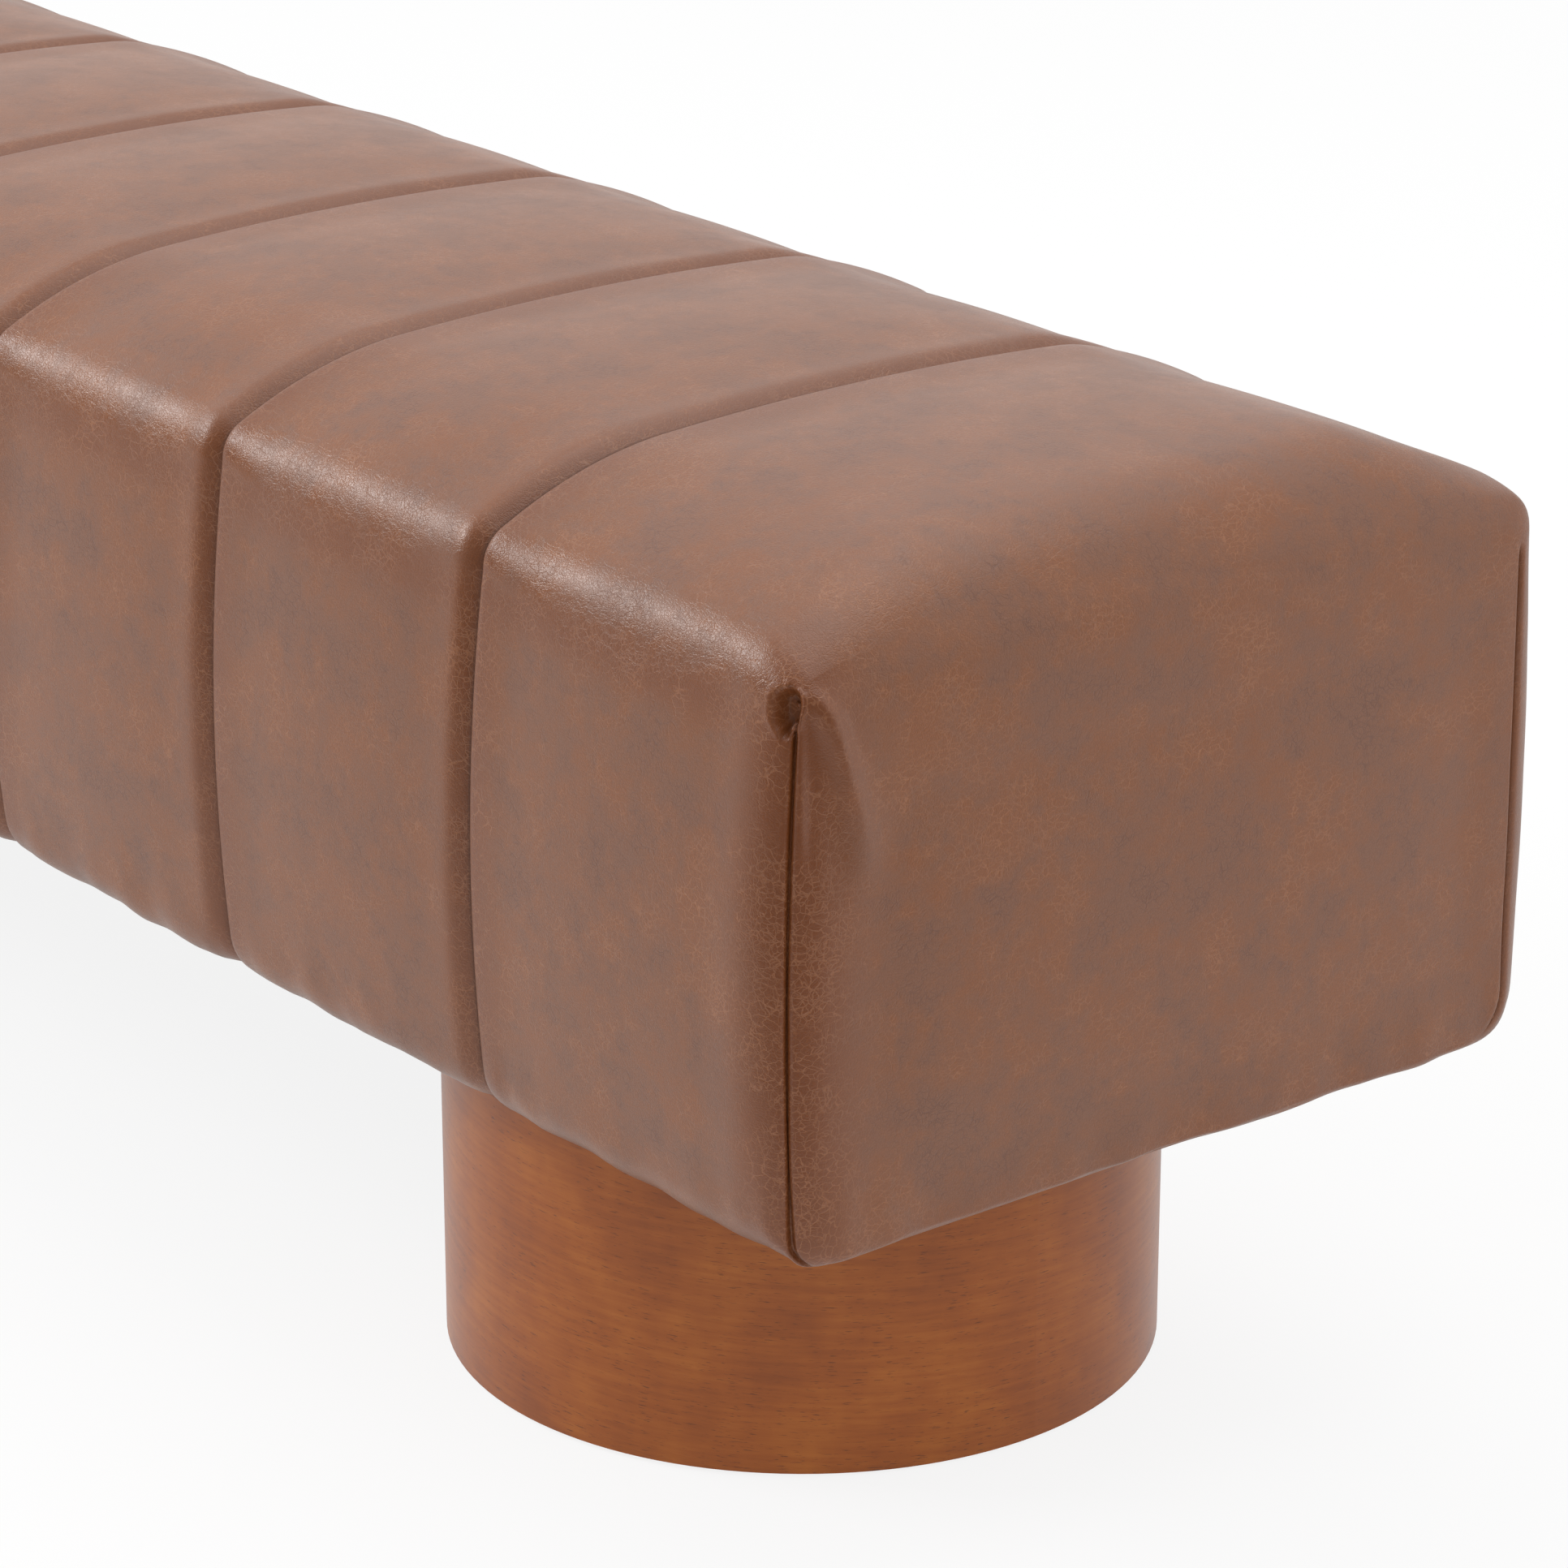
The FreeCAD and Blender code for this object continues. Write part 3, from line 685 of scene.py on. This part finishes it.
class Shader:
    """The node tree of a material or a world, with its main shader node."""

    def __init__(self, owner, surface="Principled BSDF"):
        owner.use_nodes = True
        self.tree = owner.node_tree
        self.surface = self.tree.nodes[surface]

    def node(self, kind, settings=None, inputs=None, output=0):
        made = self.tree.nodes.new(kind)
        for key, value in (settings or {}).items():
            if key == "stops":
                for k, (place, colour) in enumerate(value):
                    ramp = made.color_ramp.elements
                    element = ramp[k] if k < len(ramp) else ramp.new(place)
                    element.position = place
                    element.color = (*colour, 1)
            else:
                setattr(made, key, value)
        for key, value in (inputs or {}).items():
            self.feed(made.inputs[key], value)
        return Field(self, made.outputs[output])

    def feed(self, socket, value):
        if isinstance(value, Field):
            self.tree.links.new(value.socket, socket)
        else:
            socket.default_value = value

    def set(self, **values):
        for key, value in values.items():
            self.feed(self.surface.inputs[key.replace("_", " ")], value)
        return self

    def place(self):
        return self.node("ShaderNodeTexCoord", output="Object")

    def stretched(self, place, scale, turn=(0, 0, 0)):
        return self.node("ShaderNodeMapping", {}, {"Vector": place, "Scale": scale, "Rotation": turn})

    def noise(self, place, scale, detail=3.0, roughness=0.5):
        values = {"Vector": place, "Scale": scale, "Detail": detail, "Roughness": roughness}
        return self.node("ShaderNodeTexNoise", {}, values)

    def cracks(self, place, scale):
        values = {"Vector": place, "Scale": scale}
        return self.node("ShaderNodeTexVoronoi", {"feature": "DISTANCE_TO_EDGE"}, values)

    def crackle(self, place, stretch, turn, scale, width=0.07):
        return self.span(self.cracks(self.stretched(place, stretch, turn), scale), 0.0, width, 1, 0)

    def ramp(self, field, *stops):
        return self.node("ShaderNodeValToRGB", {"stops": stops}, {"Fac": field})

    def span(self, field, low, high, to_low=0.0, to_high=1.0):
        values = {"Value": field, "From Min": low, "From Max": high, "To Min": to_low, "To Max": to_high}
        return self.node("ShaderNodeMapRange", {"interpolation_type": "SMOOTHSTEP"}, values)

    def mix(self, factor, first, second):
        return self.node("ShaderNodeMix", {"data_type": "RGBA"}, {"Factor": factor, 6: first, 7: second}, 2)

    def bump(self, height, strength, distance):
        values = {"Height": height, "Strength": strength, "Distance": distance}
        return self.node("ShaderNodeBump", {}, values)

    def seen(self):
        """1 for rays that show a background: from the camera, or by a reflection or glass."""
        kinds = ("Is Camera Ray", "Is Glossy Ray", "Is Transmission Ray")
        camera, glossy, through = [self.node("ShaderNodeLightPath", output=kind) for kind in kinds]
        return camera.math("MAXIMUM", glossy).math("MAXIMUM", through)


def rgb(r, g, b):
    """A colour of the photograph's scale, 0 to 255, as linear light."""
    def linear(c):
        c /= 255
        return c / 12.92 if c <= 0.04045 else ((c + 0.055) / 1.055) ** 2.4
    return (linear(r), linear(g), linear(b), 1)


def leather():
    """Satin leather-look cover: mottled tan under a mauve haze, with a pebbled grain and fine crackle.
    It wears darker where it is drawn hard, a darker tan that also paints in dark reflections; its crease
    lines carry painted sheen and painted shade, and its seams painted shade."""
    # the third colour is a darker tan for wear and for painted dark reflection where the leather faces dark
    # surroundings
    tan, mauve, worn_and_dark_reflection_tan = rgb(127, 74, 38), rgb(120, 78, 55), rgb(110, 57, 22)
    # painted sheen and painted shade for the crease lines: pale where there is no haze, dark under the haze
    painted_crease_sheen, painted_crease_shade = rgb(150, 98, 64), rgb(98, 60, 44)
    pebble_shade, seam_shade = rgb(96, 56, 34), rgb(44, 21, 10)
    wander_reach = (5 * MM, 5 * MM, 5 * MM)
    material = bpy.data.materials.new("tan_leather")
    s = Shader(material)
    place = s.place()
    # wear where the leather is drawn taut, and painted dark reflection
    wear_and_dark_reflection = s.node("ShaderNodeAttribute", {"attribute_name": "drawn"}, {}, "Fac")
    # painted shade: darkness deep in the seams, where little light reaches
    deep = s.node("ShaderNodeAttribute", {"attribute_name": "painted_seam_shade"}, {}, "Fac")
    wander = s.node("ShaderNodeTexNoise", {}, {"Vector": place, "Scale": 150.0, "Detail": 3.0}, 1)
    warped = s.node("ShaderNodeVectorMath", {"operation": "MULTIPLY_ADD"},
                    {0: wander, 1: wander_reach, 2: place})
    patches = s.noise(place, 24, 4, 0.6)
    fine_patches = s.noise(place, 110, 3, 0.6)
    pebble_line = s.span(s.cracks(warped, 800), 0.0, 0.2, 1, 0)
    one_way = s.crackle(warped, (1, 0.45, 0.8), (0.5, 0.3, 0.9), 400)
    one_way *= s.span(s.noise(place, 42), 0.36, 0.56)
    other_way = s.crackle(warped, (0.45, 1, 0.7), (-0.4, 0.9, -0.6), 310)
    other_way *= s.span(s.noise(place, 55), 0.4, 0.58)
    crease_line = one_way.math("MAXIMUM", other_way)
    ridges = s.noise(warped, 1000, 2, 0.6)
    # the haze is taken away and the tan darkened where the leather is drawn taut: wear, and painted dark
    # reflection
    haze = s.span(patches * 0.65 + fine_patches * 0.35, 0.38, 0.62) * (1 - wear_and_dark_reflection * 0.9)
    colour = s.mix(haze, tan, mauve)
    colour = s.mix(wear_and_dark_reflection * 0.9, colour, worn_and_dark_reflection_tan)
    # painted sheen and painted shade along the crease lines
    colour = s.mix(crease_line * 0.65, colour, s.mix(haze, painted_crease_sheen, painted_crease_shade))
    colour = s.mix(pebble_line * 0.25, colour, pebble_shade)
    # painted shade in the seams: the colour is darkened towards the seam shade
    colour = s.mix(deep * 0.85, colour, seam_shade)
    height = 1 - pebble_line * 0.6 - crease_line * 0.9 + ridges * 0.3
    rough = 0.32 + patches * 0.08 + haze * 0.03 + deep * 0.5
    s.set(Base_Color=colour, Roughness=rough, Normal=s.bump(height, 0.32, 0.26 * MM))
    s.set(Specular_IOR_Level=0.55)
    return material


def drum_veneer():
    """Stained veneer wrapped round the drum: level grain with short dark pores under a satin lacquer."""
    dark, middle, light = rgb(128, 63, 15)[:3], rgb(149, 78, 20)[:3], rgb(166, 94, 29)[:3]
    pore_shade = rgb(66, 30, 11)
    material = bpy.data.materials.new("drum_veneer")
    s = Shader(material)
    x, y, z = [s.node("ShaderNodeSeparateXYZ", {}, {0: s.place()}, k) for k in range(3)]
    from_axis = x.math("ABSOLUTE") - DRUM_X
    round_way = y.math("ARCTAN2", from_axis) * DRUM_RADIUS
    level = z + round_way * 0.05
    wrap = s.node("ShaderNodeCombineXYZ", {}, {0: round_way, 1: level, 2: 0.0})
    pores = s.noise(s.stretched(wrap, (1, 11, 1)), 150, 2, 0.6)
    pore_places = s.noise(wrap, 34, 2)
    streaks = s.noise(s.stretched(wrap, (1, 14, 1)), 22, 4, 0.6)
    clouds = s.noise(s.stretched(wrap, (1.4, 1, 1)), 16, 3, 0.6)
    pore_line = s.span(pores, 0.6, 0.68) * s.span(pore_places, 0.35, 0.6, 0.35, 1)
    colour = s.ramp(streaks * 0.4 + clouds * 0.6, (0.32, dark), (0.5, middle), (0.68, light))
    colour = s.mix(pore_line * 0.7, colour, pore_shade)
    height = streaks * 0.2 - pore_line * 0.8
    s.set(Base_Color=colour, Roughness=0.38 + clouds * 0.1, Normal=s.bump(height, 0.2, 0.4 * MM))
    s.set(Specular_IOR_Level=0.25, Coat_Weight=0.3, Coat_Roughness=0.25)
    return material


def grained(name, dark, light, scale, stretch, roughness, bump=0.15, metallic=0.0):
    """A plain finish with a grain: timber, plywood, foam, cloth or metal."""
    material = bpy.data.materials.new(name)
    s = Shader(material)
    grain = s.noise(s.stretched(s.place(), stretch), scale, 5, 0.6)
    fleck = s.noise(s.place(), scale * 5, 2)
    tone = s.span(grain, 0.3, 0.7)
    s.set(Base_Color=s.mix(tone, dark, light), Roughness=roughness - 0.1 + fleck * 0.2, Metallic=metallic)
    s.set(Normal=s.bump(grain + fleck * 0.5, bump, 0.5 * MM))
    return material


def finishes():
    """The finish of each material slot."""
    even_grain = (1, 1, 1)
    steel_shades = rgb(150, 152, 152), rgb(182, 184, 182)
    return {
        "leather": leather(),
        "drum_veneer": drum_veneer(),
        "plywood": grained("plywood", rgb(176, 138, 96), rgb(204, 168, 124), 40, (1, 0.2, 4), 0.6),
        "timber": grained("timber", rgb(190, 150, 104), rgb(218, 182, 136), 60, (0.15, 1, 3), 0.65),
        "foam": grained("foam", rgb(212, 200, 160), rgb(232, 222, 186), 700, even_grain, 0.9, 0.4),
        "fibre_pad": grained("fibre_pad", rgb(214, 214, 210), rgb(236, 236, 232), 300, even_grain,
                             0.95, 0.4),
        "dust_cloth": grained("dust_cloth", rgb(16, 16, 17), rgb(34, 34, 36), 900, even_grain, 0.9, 0.3),
        "felt": grained("felt", rgb(40, 32, 27), rgb(58, 48, 40), 1200, even_grain, 0.95, 0.4),
        "zinc_steel": grained("zinc_steel", *steel_shades, 200, even_grain, 0.38, 0.05, metallic=1.0),
    }


def finish_frame(materials):
    """Gives every node of the frame the finish of its slot."""
    slots = {row["node"]: row["material_slot"] for row in frame["record"]["subparts"]}
    for name, node in frame["nodes"].items():
        node.data.materials.clear()
        node.data.materials.append(materials[slots[name]])


def wear(piece, material, slot, *nodes):
    piece.data.materials.clear()
    piece.data.materials.append(material)
    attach(piece, "root")
    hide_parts(*nodes)


# Stage

LENS = 127.14
SENSOR = 36.0
CAMERA_AT = (2.2965, -1.4171, 1.0885)
CAMERA_AZIMUTH = math.radians(51.45)
CAMERA_ELEVATION = math.radians(20.21)
WHITE = (1, 1, 1, 1)
CARD_SHADE = (0.02, 0.02, 0.02, 1)
FLOOR_SHADE = (0.86, 0.86, 0.86, 1)
FLOOR_WHITE_SHARE = 0.85
FLOOR_SIZE = 30
WORLD_STRENGTH = 0.86


def camera():
    back = Vector((math.sin(CAMERA_AZIMUTH) * math.cos(CAMERA_ELEVATION),
                   -math.cos(CAMERA_AZIMUTH) * math.cos(CAMERA_ELEVATION), math.sin(CAMERA_ELEVATION)))
    data = bpy.data.cameras.new("camera")
    data.lens = LENS
    data.sensor_width = SENSOR
    data.sensor_fit = "HORIZONTAL"
    eye = bpy.data.objects.new("camera", data)
    bpy.context.collection.objects.link(eye)
    eye.location = CAMERA_AT
    eye.rotation_euler = back.to_track_quat("Z", "Y").to_euler()
    bpy.context.scene.camera = eye


def softbox(name, at, towards, size, power):
    data = bpy.data.lights.new(name, "AREA")
    data.shape = "RECTANGLE"
    data.size, data.size_y = size
    data.energy = power
    lamp = bpy.data.objects.new(name, data)
    bpy.context.collection.objects.link(lamp)
    lamp.location = at
    lamp.rotation_euler = (Vector(towards) - Vector(at)).to_track_quat("-Z", "Y").to_euler()


def dark_card(name, at, facing, width, height):
    """A dark card beside the set. The camera does not see it, but the satin leather reflects it."""
    deselect()
    turn = Vector(facing).to_track_quat("Z", "Y").to_euler()
    bpy.ops.mesh.primitive_plane_add(size=1, location=at, rotation=turn)
    card = bpy.context.object
    card.name = name
    card.scale = (width, height, 1)
    bpy.ops.object.transform_apply(location=True, rotation=True, scale=True)
    card.visible_camera = False
    card.visible_diffuse = False
    card.visible_shadow = False
    material = bpy.data.materials.new(name)
    Shader(material).set(Base_Color=CARD_SHADE, Roughness=1.0)
    card.data.materials.append(material)


def floor():
    """White floor that shades under the bench, and glows a little where it is seen."""
    deselect()
    bpy.ops.mesh.primitive_plane_add(size=FLOOR_SIZE)
    plane = bpy.context.object
    plane.name = "floor"
    material = bpy.data.materials.new("floor")
    s = Shader(material)
    s.set(Base_Color=FLOOR_SHADE, Roughness=0.9, Specular_IOR_Level=0.0)
    glow = s.node("ShaderNodeEmission", {}, {"Color": WHITE})
    matt = Field(s, s.surface.outputs[0])
    mixed = s.node("ShaderNodeMixShader", {}, {0: s.seen() * FLOOR_WHITE_SHARE, 1: matt, 2: glow})
    s.feed(s.tree.nodes["Material Output"].inputs["Surface"], mixed)
    plane.data.materials.append(material)


def world():
    """White surroundings that light the bench a little less than they show."""
    sky = bpy.data.worlds.new("studio")
    bpy.context.scene.world = sky
    s = Shader(sky, "Background")
    strength = s.node("ShaderNodeMapRange", {}, {"Value": s.seen(), "To Min": WORLD_STRENGTH})
    s.set(Color=WHITE, Strength=strength)


def studio():
    world()
    floor()
    softbox("edge_light", at=(-1.94, -1.75, 1.93), towards=(0.45, -0.2, 0.42), size=(1.4, 0.6), power=46)
    softbox("top_light", at=(0.3, 0.6, 2.8), towards=(0.3, 0, 0.4), size=(2.6, 2.0), power=23)
    softbox("end_light", at=(3.4, 0.9, 1.7), towards=(0.75, 0, 0.3), size=(1.8, 1.8), power=12)
    dark_card("front_card", at=(0.86, -0.685, 0.76), facing=(-0.782, 0.623, 0), width=3.0, height=1.5)
    dark_card("side_card", at=(-1.42, -1.94, 0.75), facing=(0.74, 0.67, 0), width=2.6, height=0.8)


def main():
    materials = finishes()
    finish_frame(materials)
    for index in range(1, len(CHANNELS) + 1):
        piece = channel_panel(index)
        wear(piece, materials["leather"], "leather", f"channel_cover_{index}", f"channel_pad_{index}")
    for side in ("left", "right"):
        piece = end_panel(side)
        wear(piece, materials["leather"], "leather", f"{side}_end_cover", f"{side}_end_pad")
    camera()
    studio()
    bpy.context.scene.view_settings.view_transform = "Standard"


main()
